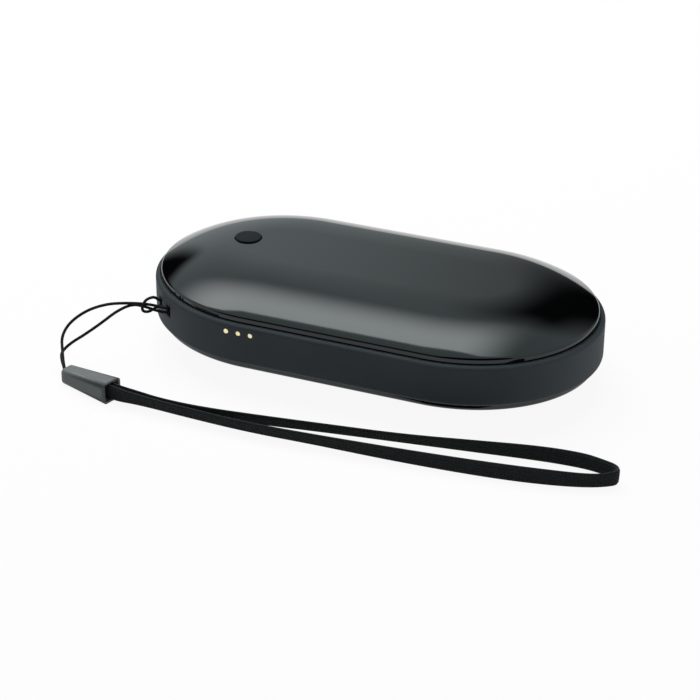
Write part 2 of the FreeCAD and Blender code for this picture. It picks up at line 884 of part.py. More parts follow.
def wrist_strap():
    """Flat strap standing on its edge."""
    level = bead_mouth_height / 2
    points = [Vec(x, y, level) for x, y in strap_route]
    ahead = (points[1] - points[0]).normalize()
    across = Vec(-ahead.y, ahead.x, 0) * (strap_thickness / 2)
    rise = Vec(0, 0, strap_width / 2)
    corners = [points[0] + shift for shift in (across + rise, rise - across, -across - rise, across - rise)]
    section = Part.makePolygon(corners + corners[:1])
    return swept("wrist strap", points, section, strap_width * strap_thickness)


def rounded_section(x, width, height, radius, inset):
    """Outline across X with round corners, standing on the floor and drawn inset."""
    side = width / 2 - radius
    upper = height - radius
    centres = [(side, upper), (-side, upper), (-side, radius), (side, radius)]
    radius = radius - inset
    edges = []
    for index, (y, z) in enumerate(centres):
        turns = [math.pi / 4 * (2 * index + step) for step in range(3)]
        arc = Part.Arc(*[Vec(x, y + radius * math.cos(turn), z + radius * math.sin(turn)) for turn in turns])
        edges.append(arc.toShape())
    ends = [(edge.valueAt(edge.LastParameter), edge.valueAt(edge.FirstParameter)) for edge in edges]
    sides = [Part.makeLine(ends[index][0], ends[(index + 1) % 4][1]) for index in range(4)]
    return Part.Wire([edge for pair in zip(edges, sides) for edge in pair])


def lanyard_bead():
    """Tapered sleeve with a mouth for the strap and a hole for the cord."""
    length = math.hypot(bead_mouth_x - bead_tail_x, bead_mouth_y - bead_tail_y)
    sections = []
    for step in range(bead_round_count + 1):
        turn = math.pi / 2 * step / bead_round_count
        x = bead_tail_edge_round * (1 - math.cos(turn))
        inset = bead_tail_edge_round * (1 - math.sin(turn))
        sections.append(rounded_section(x, bead_tail_width, bead_tail_height, bead_tail_round, inset))
    sections.append(rounded_section(length, bead_mouth_width, bead_mouth_height, bead_mouth_round, 0))
    body = Part.makeLoft(sections, True, True)
    seat_x = length - strap_seat_depth / 2
    width = bead_mouth_width - 2 * bead_cheek
    body = body.cut(block(strap_seat_depth, width, seat_x, 0, bead_wall, bead_mouth_height - bead_wall))
    bore = 2 * (cord_radius + cord_hole_gap)
    slot = pill(cord_pitch + bore, bore, 0, 0, cord_hole_depth)
    slot.rotate(Vec(0, 0, 0), Vec(1, 0, 0), 90)
    slot.translate(Vec(0, 0, cord_route[0][2] - cord_pitch / 2))
    body = body.cut(slot)
    turn = math.degrees(math.atan2(bead_mouth_y - bead_tail_y, bead_mouth_x - bead_tail_x))
    body.rotate(Vec(0, 0, 0), Vec(0, 0, 1), turn)
    body.translate(Vec(bead_tail_x, bead_tail_y, 0))
    return body


nodes = {
    "mid_frame": mid_frame(),
    "top_cover": top_cover(),
    "bottom_cover": bottom_cover(),
    "upper_cover_gasket": gasket(),
    "lower_cover_gasket": lower_gasket(),
    "upper_heater_film": upper_heater_film(),
    "lower_heater_film": over_middle(heater_film()),
    "temperature_sensors": temperature_sensors(),
    "upper_heater_leads": Part.makeCompound([heater_lead(-1), heater_lead(1)]),
    "lower_heater_leads": Part.makeCompound([lower_heater_lead(-1), lower_heater_lead(1)]),
    "inner_chassis": inner_chassis(),
    "chassis_screws": chassis_screws(),
    "battery_cell": battery_cell(),
    "battery_tabs": battery_tabs(),
    "battery_protection_board": battery_protection_board(),
    "positive_lead": cell_lead("positive lead", 1),
    "negative_lead": cell_lead("negative lead", -1),
    "upper_insulation_pad": insulation_pad(cell_top, upper_pad_height),
    "lower_insulation_pad": insulation_pad(tray_bottom - lower_pad_height, lower_pad_height),
    "circuit_board": circuit_board(),
    "board_screws": board_screws(),
    "usb_shell": usb_shell(),
    "usb_tongue": usb_tongue(),
    "usb_contacts": usb_contacts(),
    "light_pipe": light_pipe(),
    "indicator_leds": indicator_leds(),
    "switch_base": switch_base(),
    "switch_dome": switch_dome(),
    "switch_plunger": switch_plunger(),
    "switch_cover_plate": switch_cover_plate(),
    "power_button": power_button(),
    "power_inductor": power_inductor(),
    "main_controller": main_controller(),
    "driver_chips": driver_chips(),
    "board_capacitors": board_capacitors(),
    "lanyard_cord": lanyard_cord(),
    "lanyard_bead": lanyard_bead(),
    "wrist_strap": wrist_strap(),
}

os.makedirs("parts", exist_ok=True)
for name, shape in nodes.items():
    state = "valid" if shape.isValid() else "not valid"
    print("%s: %s, %d solids, volume %.2f" % (name, state, len(shape.Solids), shape.Volume))
    shape.exportStep("parts/%s.step" % name)
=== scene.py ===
import enum
import json
import logging
import math
from dataclasses import dataclass, field

import bmesh
import bpy
from mathutils import Matrix, Vector


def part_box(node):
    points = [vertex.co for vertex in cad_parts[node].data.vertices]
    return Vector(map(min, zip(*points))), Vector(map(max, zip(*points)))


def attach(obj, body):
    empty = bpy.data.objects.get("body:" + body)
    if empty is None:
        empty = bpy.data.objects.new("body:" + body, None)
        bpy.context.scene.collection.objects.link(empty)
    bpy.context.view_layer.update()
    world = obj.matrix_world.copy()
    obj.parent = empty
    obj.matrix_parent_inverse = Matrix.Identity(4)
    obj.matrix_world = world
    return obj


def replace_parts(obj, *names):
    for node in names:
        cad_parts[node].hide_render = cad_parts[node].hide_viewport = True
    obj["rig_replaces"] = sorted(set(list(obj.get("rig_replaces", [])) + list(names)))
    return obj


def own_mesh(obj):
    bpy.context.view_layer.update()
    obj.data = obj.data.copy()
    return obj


# Looks of the rechargeable hand warmer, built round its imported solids. Metres, in the frame of the solids.
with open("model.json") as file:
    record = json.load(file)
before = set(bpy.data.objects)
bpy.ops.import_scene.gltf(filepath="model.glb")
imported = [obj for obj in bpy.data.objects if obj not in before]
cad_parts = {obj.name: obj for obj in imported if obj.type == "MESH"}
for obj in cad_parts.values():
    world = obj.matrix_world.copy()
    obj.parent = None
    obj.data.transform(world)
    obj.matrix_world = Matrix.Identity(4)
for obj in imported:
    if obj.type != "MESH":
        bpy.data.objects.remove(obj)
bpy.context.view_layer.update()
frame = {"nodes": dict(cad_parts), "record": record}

log = logging.getLogger("hand_warmer")

MM = 0.001

Colour = tuple[float, float, float]
Point = tuple[float, float, float]


class Body(enum.Enum):
    """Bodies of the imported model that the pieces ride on."""

    HOUSING = "housing"
    BUTTON = "button"


class Slot(enum.Enum):
    """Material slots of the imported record."""

    BAND = "band_plastic"
    COVER = "cover_metal"
    BUTTON = "button_plastic"
    BEAD = "bead_plastic"
    LAMP = "lamp_plastic"
    LED = "led_plastic"
    GASKET = "gasket_foam"
    PAD = "pad_foam"
    FILM = "heater_film"
    CHASSIS = "chassis_plastic"
    CELL = "cell_pouch"
    TAB = "tab_nickel"
    BOARD = "board_laminate"
    WIRE_RED = "wire_red"
    WIRE_BLACK = "wire_black"
    WIRE_WHITE = "wire_white"
    SCREW = "screw_steel"
    INLET = "inlet_steel"
    CONTACT = "contact_gold"
    CHIP = "chip_plastic"
    COIL = "coil_ferrite"
    CAPACITOR = "capacitor_ceramic"
    CORD = "cord_fabric"
    STRAP = "strap_fabric"


class NodeSheet:
    """One node tree, with short calls to add nodes and join them."""

    def __init__(self, tree: bpy.types.NodeTree) -> None:
        """Keep the tree that the calls work on."""
        self.tree = tree

    def add(self, kind: str, settings: dict | None = None, inputs: dict | None = None) -> bpy.types.Node:
        """Add one node.

        Args:
            kind: Blender's name of the node type.
            settings: Properties of the node, by name.
            inputs: Values or output sockets for its inputs, by name or index.

        Returns:
            The new node.
        """
        node = self.tree.nodes.new(kind)
        for name, value in (settings or {}).items():
            setattr(node, name, value)
        self.fill(node, inputs or {})
        return node

    def fill(self, node: bpy.types.Node, inputs: dict) -> None:
        """Set or join inputs of a node.

        Args:
            node: The node whose inputs are filled.
            inputs: Values or output sockets, by name or index.
        """
        for key, value in inputs.items():
            if isinstance(value, bpy.types.NodeSocket):
                self.tree.links.new(value, node.inputs[key])
            else:
                node.inputs[key].default_value = value

    def maths(self, operation: str, first: object, second: object = 0.0) -> bpy.types.NodeSocket:
        """Add one sum.

        Args:
            operation: Blender's name of the operation.
            first: First value or socket.
            second: Second value or socket.

        Returns:
            The socket with the result.
        """
        node = self.add("ShaderNodeMath", {"operation": operation}, {0: first, 1: second})
        return node.outputs[0]


class SharedEffects:
    """Shader groups that several finishes use, each built once."""

    def __init__(self) -> None:
        """Build the groups."""
        self.grain = self._build_grain()
        self.weave = self._build_weave()

    @staticmethod
    def _open(name: str, inputs: dict[str, tuple[str, float | None]], outputs: list[str]) -> tuple:
        """Start a group.

        Args:
            name: Name of the group.
            inputs: Socket type and first value of each input, by name.
            outputs: Names of its outputs, which are all plain values.

        Returns:
            The group's sheet, its input node and its output node.
        """
        group = bpy.data.node_groups.new(name, "ShaderNodeTree")
        for title, (kind, value) in inputs.items():
            socket = group.interface.new_socket(title, in_out="INPUT", socket_type=kind)
            if value is not None:
                socket.default_value = value
        for title in outputs:
            group.interface.new_socket(title, in_out="OUTPUT", socket_type="NodeSocketFloat")
        sheet = NodeSheet(group)
        return sheet, sheet.add("NodeGroupInput"), sheet.add("NodeGroupOutput")

    def _build_grain(self) -> bpy.types.NodeTree:
        """Build the fine grain and the slow drift of tone that moulded and coated surfaces show.

        Returns:
            The group.
        """
        inputs = {
            "Vector": ("NodeSocketVector", None),
            "Grain Scale": ("NodeSocketFloat", 3000.0),
            "Drift Scale": ("NodeSocketFloat", 80.0),
        }
        sheet, enter, leave = self._open("surface_grain", inputs, ["Grain", "Drift"])
        vector = enter.outputs["Vector"]
        fine = {"Vector": vector, "Scale": enter.outputs["Grain Scale"], "Detail": 2.0}
        broad = {"Vector": vector, "Scale": enter.outputs["Drift Scale"], "Detail": 3.0}
        grain = sheet.add("ShaderNodeTexNoise", inputs=fine)
        drift = sheet.add("ShaderNodeTexNoise", inputs=broad)
        sheet.fill(leave, {"Grain": grain.outputs[0], "Drift": drift.outputs[0]})
        return sheet.tree

    def _build_weave(self) -> bpy.types.NodeTree:
        """Build crossing threads on a flat map, and a painted shade that is darkest in the hollows between
        them and lightest on their crests, varied by a random fuzz.

        Returns:
            The group.
        """
        inputs = {
            "Vector": ("NodeSocketVector", None),
            "Along Count": ("NodeSocketFloat", 2000.0),
            "Across Count": ("NodeSocketFloat", 2000.0),
        }
        sheet, enter, leave = self._open("thread_weave", inputs, ["Height", "Shade"])
        split = sheet.add("ShaderNodeSeparateXYZ", inputs={0: enter.outputs["Vector"]})
        waves = []
        for axis, count in ((0, "Along Count"), (1, "Across Count")):
            turns = sheet.maths("MULTIPLY", split.outputs[axis], enter.outputs[count])
            waves.append(sheet.maths("SINE", sheet.maths("MULTIPLY", turns, math.tau)))
        crossing = sheet.maths("MULTIPLY", *waves)
        height = sheet.maths("MULTIPLY_ADD", crossing, 0.5)
        sheet.fill(height.node, {2: 0.5})
        fuzz = sheet.add("ShaderNodeTexNoise", inputs={"Vector": enter.outputs["Vector"], "Scale": 900.0})
        # Painted shade: dark in the weave's hollows, light on its crests, times a random fuzz of tone.
        painted_shade = sheet.maths("MULTIPLY", height, fuzz.outputs[0])
        sheet.fill(leave, {"Height": height, "Shade": painted_shade})
        return sheet.tree


def open_material(name: str) -> tuple[bpy.types.Material, NodeSheet, bpy.types.Node]:
    """Start a material with one main shader.

    Args:
        name: Name of the material.

    Returns:
        The material, its sheet and its main shader.
    """
    material = bpy.data.materials.new(name)
    material.use_nodes = True
    material.node_tree.nodes.clear()
    sheet = NodeSheet(material.node_tree)
    shader = sheet.add("ShaderNodeBsdfPrincipled")
    sheet.add("ShaderNodeOutputMaterial", inputs={"Surface": shader.outputs[0]})
    return material, sheet, shader


def mixed_colour(sheet: NodeSheet, factor: object, first: Colour, second: Colour) -> bpy.types.NodeSocket:
    """Mix two colours.

    Args:
        sheet: Sheet of the material.
        factor: Socket with the share of the second colour.
        first: First colour.
        second: Second colour.

    Returns:
        The socket with the mixed colour.
    """
    inputs = {0: factor, 6: (*first, 1.0), 7: (*second, 1.0)}
    return sheet.add("ShaderNodeMix", {"data_type": "RGBA"}, inputs).outputs[2]


def ranged(sheet: NodeSheet, factor: object, low: float, high: float) -> bpy.types.NodeSocket:
    """Spread a value between two limits.

    Args:
        sheet: Sheet of the material.
        factor: Socket with a value from 0 to 1.
        low: Limit at 0.
        high: Limit at 1.

    Returns:
        The socket with the spread value.
    """
    return sheet.add("ShaderNodeMapRange", inputs={0: factor, 3: low, 4: high}).outputs[0]


@dataclass(frozen=True)
class GrainedFinish:
    """Moulded, coated, pressed or bare surface with a fine grain and a slow drift of tone."""

    name: str
    colour: Colour
    second_colour: Colour
    roughness: tuple[float, float]
    grain_size: float = 0.3 * MM
    grain_depth: float = 0.004 * MM
    drift_size: float = 14.0 * MM
    metallic: float = 0.0
    gloss: float = 0.5
    gloss_tint: Colour = (1.0, 1.0, 1.0)

    def material(self, effects: SharedEffects) -> bpy.types.Material:
        """Make the material.

        Args:
            effects: The shared shader groups.

        Returns:
            The material.
        """
        material, sheet, shader = open_material(self.name)
        place = sheet.add("ShaderNodeTexCoord")
        grain = sheet.add("ShaderNodeGroup", {"node_tree": effects.grain}, {
            "Vector": place.outputs["Object"],
            "Grain Scale": 1 / self.grain_size,
            "Drift Scale": 1 / self.drift_size,
        })
        drift = grain.outputs["Drift"]
        bump = sheet.add("ShaderNodeBump", inputs={
            "Strength": 1.0, "Distance": self.grain_depth, "Height": grain.outputs["Grain"],
        })
        sheet.fill(shader, {
            "Base Color": mixed_colour(sheet, drift, self.colour, self.second_colour),
            "Roughness": ranged(sheet, drift, *self.roughness),
            "Metallic": self.metallic,
            "Specular IOR Level": self.gloss,
            "Specular Tint": (*self.gloss_tint, 1.0),
            "Normal": bump.outputs[0],
        })
        return material


@dataclass(frozen=True)
class LampLens:
    """Milky light pipe with a warm glow."""

    name: str
    colour: Colour
    edge_colour: Colour
    glow: float

    def material(self, effects: SharedEffects) -> bpy.types.Material:
        """Make the material.

        Args:
            effects: The shared shader groups.

        Returns:
            The material.
        """
        material, sheet, shader = open_material(self.name)
        place = sheet.add("ShaderNodeTexCoord")
        grain = sheet.add("ShaderNodeGroup", {"node_tree": effects.grain}, {
            "Vector": place.outputs["Object"], "Grain Scale": 5000.0, "Drift Scale": 1200.0,
        })
        colour = mixed_colour(sheet, grain.outputs["Drift"], self.colour, self.edge_colour)
        sheet.fill(shader, {
            "Base Color": colour,
            "Emission Color": colour,
            "Emission Strength": self.glow,
            "Roughness": ranged(sheet, grain.outputs["Grain"], 0.2, 0.4),
        })
        return material


@dataclass(frozen=True)
class TracedFinish:
    """Film or board with printed tracks."""

    name: str
    colour: Colour
    track_colour: Colour
    track_pitch: float
    roughness: tuple[float, float]
    track_metallic: float = 0.0

    def material(self, effects: SharedEffects) -> bpy.types.Material:
        """Make the material.

        Args:
            effects: The shared shader groups.

        Returns:
            The material.
        """
        material, sheet, shader = open_material(self.name)
        place = sheet.add("ShaderNodeTexCoord")
        grain = sheet.add("ShaderNodeGroup", {"node_tree": effects.grain}, {
            "Vector": place.outputs["Object"], "Grain Scale": 2500.0, "Drift Scale": 150.0,
        })
        tracks = sheet.add("ShaderNodeTexWave", {"bands_direction": "Y"}, {
            "Vector": place.outputs["Object"], "Scale": math.pi / (10 * self.track_pitch), "Distortion": 1.5,
        })
        on_track = sheet.maths("GREATER_THAN", tracks.outputs["Fac"], 0.5)
        bump = sheet.add("ShaderNodeBump", inputs={"Distance": 0.02 * MM, "Height": on_track})
        sheet.fill(shader, {
            "Base Color": mixed_colour(sheet, on_track, self.colour, self.track_colour),
            "Metallic": sheet.maths("MULTIPLY", on_track, self.track_metallic),
            "Roughness": ranged(sheet, grain.outputs["Drift"], *self.roughness),
            "Normal": bump.outputs[0],
        })
        return material


@dataclass(frozen=True)
class ThreadFinish:
    """Woven tape or braided cord, patterned on the piece's own map, its colour lighter on the weave's crests
    and darker in its hollows: painted shade, mixed with random tone.
    """

    name: str
    colour: Colour
    painted_crest_colour: Colour
    along_count: float
    across_count: float
    thread_depth: float
    turn: float = 0.0
    sheen: float = 0.06
    gloss: float = 0.2

    def material(self, effects: SharedEffects) -> bpy.types.Material:
        """Make the material.

        Args:
            effects: The shared shader groups.

        Returns:
            The material.
        """
        material, sheet, shader = open_material(self.name)
        place = sheet.add("ShaderNodeTexCoord")
        turned = sheet.add("ShaderNodeMapping", inputs={
            "Vector": place.outputs["UV"], "Rotation": (0.0, 0.0, self.turn),
        })
        weave = sheet.add("ShaderNodeGroup", {"node_tree": effects.weave}, {
            "Vector": turned.outputs[0], "Along Count": self.along_count, "Across Count": self.across_count,
        })
        bump = sheet.add("ShaderNodeBump", inputs={
            "Distance": self.thread_depth, "Height": weave.outputs["Height"],
        })
        sheet.fill(shader, {
            # Colour runs from the painted shade of the hollows to the painted lighter tone of the crests.
            "Base Color": mixed_colour(sheet, weave.outputs["Shade"], self.colour, self.painted_crest_colour),
            "Roughness": ranged(sheet, weave.outputs["Height"], 0.95, 0.75),
            "Specular IOR Level": self.gloss,
            "Sheen Weight": self.sheen,
            "Sheen Roughness": 0.5,
            "Normal": bump.outputs[0],
        })
        return material


COOL_GLOSS: Colour = (0.9, 0.985, 1.0)
BLUE_GLOSS: Colour = (0.8, 0.93, 1.0)


class FinishBook:
    """The finish of each material slot, made into a material when first asked for."""

    finishes = {
        Slot.BAND: GrainedFinish(
            "band_matte", (0.0024, 0.0034, 0.0044), (0.0034, 0.0046, 0.0058), (0.72, 0.8),
            gloss=0.9, gloss_tint=BLUE_GLOSS,
        ),
        Slot.COVER: GrainedFinish(
            "cover_coat", (0.0013, 0.0015, 0.0016), (0.0019, 0.0021, 0.0023), (0.05, 0.075),
            grain_depth=0.001 * MM, gloss_tint=COOL_GLOSS,
        ),
        Slot.BUTTON: GrainedFinish(
            "button_matte", (0.003, 0.0038, 0.0046), (0.0045, 0.0055, 0.0064), (0.68, 0.78),
            0.12 * MM, 0.01 * MM, gloss=0.25, gloss_tint=BLUE_GLOSS,
        ),
        Slot.BEAD: GrainedFinish(
            "bead_satin", (0.115, 0.121, 0.122), (0.14, 0.146, 0.147), (0.38, 0.46), gloss_tint=COOL_GLOSS
        ),
        Slot.LAMP: LampLens("lamp_glow", (0.97, 0.88, 0.6), (0.86, 0.68, 0.3), 0.75),
        Slot.LED: GrainedFinish("led_resin", (0.85, 0.8, 0.55), (0.7, 0.62, 0.3), (0.25, 0.4)),
        Slot.GASKET: GrainedFinish(
            "gasket_foam", (0.02, 0.02, 0.022), (0.05, 0.05, 0.052), (0.9, 1.0), 0.5 * MM, 0.1 * MM
        ),
        Slot.PAD: GrainedFinish(
            "pad_foam", (0.55, 0.55, 0.53), (0.7, 0.7, 0.67), (0.9, 1.0), 0.6 * MM, 0.15 * MM,
        ),
        Slot.FILM: TracedFinish(
            "heater_film", (0.5, 0.2, 0.03), (0.72, 0.38, 0.16), 1.6 * MM, (0.25, 0.4), 0.8,
        ),
        Slot.CHASSIS: GrainedFinish(
            "chassis_moulding", (0.03, 0.032, 0.034), (0.05, 0.052, 0.055), (0.5, 0.65),
        ),
        Slot.CELL: GrainedFinish(
            "cell_foil", (0.6, 0.61, 0.63), (0.75, 0.76, 0.78), (0.3, 0.48), 1.2 * MM, 0.05 * MM, metallic=0.9
        ),
        Slot.TAB: GrainedFinish(
            "tab_nickel", (0.6, 0.57, 0.5), (0.72, 0.69, 0.62), (0.25, 0.4), metallic=1.0,
        ),
        Slot.BOARD: TracedFinish(
            "board_laminate", (0.01, 0.09, 0.04), (0.02, 0.15, 0.07), 0.9 * MM, (0.3, 0.45),
        ),
        Slot.WIRE_RED: GrainedFinish("wire_red", (0.45, 0.015, 0.012), (0.6, 0.03, 0.025), (0.35, 0.5)),
        Slot.WIRE_BLACK: GrainedFinish("wire_black", (0.01, 0.01, 0.011), (0.025, 0.025, 0.027), (0.35, 0.5)),
        Slot.WIRE_WHITE: GrainedFinish("wire_white", (0.7, 0.7, 0.68), (0.82, 0.82, 0.8), (0.35, 0.5)),
        Slot.SCREW: GrainedFinish(
            "screw_steel", (0.5, 0.5, 0.51), (0.65, 0.65, 0.66), (0.25, 0.4), metallic=1.0,
        ),
        Slot.INLET: GrainedFinish(
            "inlet_steel", (0.55, 0.55, 0.56), (0.68, 0.68, 0.69), (0.22, 0.34), metallic=1.0,
        ),
        Slot.CONTACT: GrainedFinish(
            "contact_gold", (0.83, 0.6, 0.25), (0.92, 0.7, 0.33), (0.2, 0.3), metallic=1.0,
        ),
        Slot.CHIP: GrainedFinish("chip_epoxy", (0.012, 0.012, 0.013), (0.025, 0.025, 0.027), (0.5, 0.7)),
        Slot.COIL: GrainedFinish(
            "coil_ferrite", (0.035, 0.033, 0.032), (0.07, 0.066, 0.063), (0.6, 0.8), 0.2 * MM, 0.02 * MM
        ),
        Slot.CAPACITOR: GrainedFinish("capacitor_body", (0.4, 0.26, 0.14), (0.52, 0.36, 0.22), (0.4, 0.55)),
        # The second colour of each thread finish is the lighter tone painted on the weave's crests.
        Slot.CORD: ThreadFinish(
            "cord_braid", (0.005, 0.0055, 0.006), (0.026, 0.028, 0.03), 160.0, 3.0, 0.03 * MM
        ),
        Slot.STRAP: ThreadFinish(
            "strap_weave", (0.014, 0.0155, 0.0165), (0.075, 0.08, 0.083), 1250.0, 1450.0, 0.05 * MM
        ),
    }

    def __init__(self) -> None:
        """Build the shared groups."""
        self.effects = SharedEffects()
        self.made: dict[Slot, bpy.types.Material] = {}

    def material(self, slot: Slot) -> bpy.types.Material:
        """Give the material of a slot.

        Args:
            slot: The material slot.

        Returns:
            Its material, made once.
        """
        if slot not in self.made:
            self.made[slot] = self.finishes[slot].material(self.effects)
        return self.made[slot]


def add_piece(
    name: str, data: bpy.types.ID, body: Body, slot: Slot, book: FinishBook, nodes: tuple[str, ...]
) -> bpy.types.Object:
    """Put a finished mesh or curve into the scene as a piece of the object.

    Args:
        name: Name of the piece.
        data: Its mesh or curve, with its place in it.
        body: The body that it rides on.
        slot: Its material slot.
        book: The finishes.
        nodes: The solids that it stands for.

    Returns:
        The piece.
    """
    piece = bpy.data.objects.new(name, data)
    bpy.context.scene.collection.objects.link(piece)
    data.materials.append(book.material(slot))
    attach(piece, body.value)
    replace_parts(piece, *nodes)
    log.info("built %s", name)
    return piece


def mesh_from(bm: bmesh.types.BMesh, name: str, crease: float) -> bpy.types.Mesh:
    """Turn a finished bmesh into a smooth mesh with its sharp edges marked, and free it.

    Args:
        bm: The bmesh.
        name: Name of the mesh.
        crease: Angle in degrees past which an edge is sharp.

    Returns:
        The mesh.
    """
    for face in bm.faces:
        face.smooth = True
    mesh = bpy.data.meshes.new(name)
    bm.to_mesh(mesh)
    bm.free()
    mesh.set_sharp_from_angle(angle=math.radians(crease))
    return mesh


def solid_copy(node: str, crease: float) -> bpy.types.Mesh:
    """Copy a solid's mesh, merged and smooth.

    Args:
        node: Name of the solid.
        crease: Angle in degrees past which an edge is sharp.

    Returns:
        The copy.
    """
    bm = bmesh.new()
    bm.from_mesh(frame["nodes"][node].data)
    bmesh.ops.remove_doubles(bm, verts=bm.verts, dist=0.001 * MM)
    return mesh_from(bm, node + "_skin", crease)


@dataclass
class Covers:
    """The two covers: rings of the body's outline up a skirt, round its edge and over the crown."""

    side_half: float = 21.8 * MM
    skirt: float = 1.4 * MM
    edge_round: float = 0.8 * MM
    crown_run: float = 20.0 * MM
    crown_power: float = 2.2
    wall: float = 1.0 * MM
    button_x: float = -33.2 * MM
    hole_radius: float = 3.35 * MM
    hole_count: int = 96
    outline_count: int = 288
    edge_steps: int = 8
    crown_steps: int = 52
    inner_steps: int = 12

    def build(self, book: FinishBook) -> list[bpy.types.Object]:
        """Build both covers.

        Args:
            book: The finishes.

        Returns:
            The pieces.
        """
        top = self._open_hole(self._shell("top_cover_skin"))
        bottom = self._shell("bottom_cover_skin")
        bottom_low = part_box("bottom_cover")[0].z
        top_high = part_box("top_cover")[1].z
        bottom.transform(Matrix.Translation((0, 0, bottom_low + top_high)) @ Matrix.Scale(-1, 4, (0, 0, 1)))
        bottom.flip_normals()
        return [
            add_piece("top_cover_skin", top, Body.HOUSING, Slot.COVER, book, ("top_cover",)),
            add_piece("bottom_cover_skin", bottom, Body.HOUSING, Slot.COVER, book, ("bottom_cover",)),
        ]

    def _crown_rise(self, run: float) -> float:
        """Give the crown's height over the rim.

        Args:
            run: Distance in from the rim.

        Returns:
            The height.
        """
        low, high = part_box("top_cover")
        left = max(1 - run / self.crown_run, 0.0)
        return self.skirt + (high.z - low.z - self.skirt) * (1 - left ** self.crown_power)

    def _outer_profile(self) -> list[tuple[float, float]]:
        """Trace the outer face: the skirt, its rounded edge and the crown.

        Returns:
            Run in from the rim and height over it at each ring.
        """
        low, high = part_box("top_cover")
        slope = math.atan((high.z - low.z - self.skirt) * self.crown_power / self.crown_run)
        bend = math.pi / 2 - slope
        start = self.skirt - self.edge_round * math.tan(bend / 2)
        turns = [bend * step / self.edge_steps for step in range(self.edge_steps + 1)]
        edge = [
            (self.edge_round * (1 - math.cos(turn)), start + self.edge_round * math.sin(turn))
            for turn in turns
        ]
        first = edge[-1][0]
        pace = (self.crown_run - first) / self.crown_steps
        runs = [first + pace * step for step in range(1, self.crown_steps + 1)]
        return [(0.0, 0.0), *edge, *[(run, self._crown_rise(run)) for run in runs]]

    def _inner_profile(self) -> list[tuple[float, float]]:
        """Trace the inner face, one wall further in.

        Returns:
            Run in from the rim and height over it at each ring.
        """
        span = self.crown_run - self.wall
        runs = [self.wall + span * step / self.inner_steps for step in range(self.inner_steps + 1)]
        return [(self.wall, 0.0), *[(run, self._crown_rise(run) - self.wall) for run in runs]]

    def _shell(self, name: str) -> bpy.types.Mesh:
        """Raise the outer face from the rim, then the inner one.

        Args:
            name: Name of the mesh.

        Returns:
            The closed shell of the top cover without its hole.
        """
        bm = bmesh.new()
        self.unit_x = bm.verts.layers.float.new("unit_x")
        self.unit_y = bm.verts.layers.float.new("unit_y")
        half_step = Matrix.Rotation(math.pi / self.outline_count, 4, "Z")
        ring = bmesh.ops.create_circle(bm, segments=self.outline_count, radius=1.0, matrix=half_step)["verts"]
        for vert in ring:
            vert[self.unit_x] = vert.co.x
            vert[self.unit_y] = vert.co.y
        rim = list(bm.edges)
        outer = self._outer_profile()
        self._place(ring, *outer[0])
        self._raise(bm, rim, outer[1:])
        self._raise(bm, rim, self._inner_profile())
        bmesh.ops.recalc_face_normals(bm, faces=bm.faces)
        bm.verts.layers.float.remove(bm.verts.layers.float["unit_y"])
        bm.verts.layers.float.remove(bm.verts.layers.float["unit_x"])
        return mesh_from(bm, name, 35.0)

    def _raise(self, bm: bmesh.types.BMesh, edges: list, profile: list[tuple[float, float]]) -> None:
        """Extrude a ring of edges along a profile and close its top.

        Args:
            bm: The bmesh.
            edges: The ring to start from.
            profile: Run in from the rim and height over it at each further ring.
        """
        for run, rise in profile:
            grown = bmesh.ops.extrude_edge_only(bm, edges=edges)["geom"]
            verts = [item for item in grown if isinstance(item, bmesh.types.BMVert)]
            edges = [item for item in grown if isinstance(item, bmesh.types.BMEdge)]
            self._place(verts, run, rise)
        bmesh.ops.contextual_create(bm, geom=edges)

    def _place(self, verts: list, run: float, rise: float) -> None:
        """Put one ring in its place.

        Args:
            verts: The ring's vertices.
            run: Distance in from the rim.
            rise: Height over the rim.
        """
        low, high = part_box("top_cover")
        reach = high.x - self.side_half - run
        for vert in verts:
            along = math.copysign(self.side_half, vert[self.unit_x])
            vert.co = (along + reach * vert[self.unit_x], (high.y - run) * vert[self.unit_y], low.z + rise)

    def _open_hole(self, mesh: bpy.types.Mesh) -> bpy.types.Mesh:
        """Cut the round hole for the button.

        Args:
            mesh: The whole cover.

        Returns:
            The cover with its hole.
        """
        low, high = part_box("top_cover")
        bm = bmesh.new()
        place = Matrix.Translation((self.button_x, 0.0, high.z))
        size = {
            "segments": self.hole_count, "radius1": self.hole_radius, "radius2": self.hole_radius,
            "depth": high.z - low.z,
        }
        bmesh.ops.create_cone(bm, cap_ends=True, matrix=place, **size)
        cutter_mesh = mesh_from(bm, "hole_cutter", 35.0)
        cover = bpy.data.objects.new("cover_blank", mesh)
        cutter = bpy.data.objects.new("hole_cutter", cutter_mesh)
        for item in (cover, cutter):
            bpy.context.scene.collection.objects.link(item)
        cut = cover.modifiers.new("hole", "BOOLEAN")
        cut.operation = "DIFFERENCE"
        cut.object = cutter
        ready = cover.evaluated_get(bpy.context.evaluated_depsgraph_get())
        result = bpy.data.meshes.new_from_object(ready)
        result.name = "top_cover_skin"
        result.set_sharp_from_angle(angle=math.radians(35.0))
        for item in (cover, cutter):
            bpy.data.objects.remove(item)
        return result


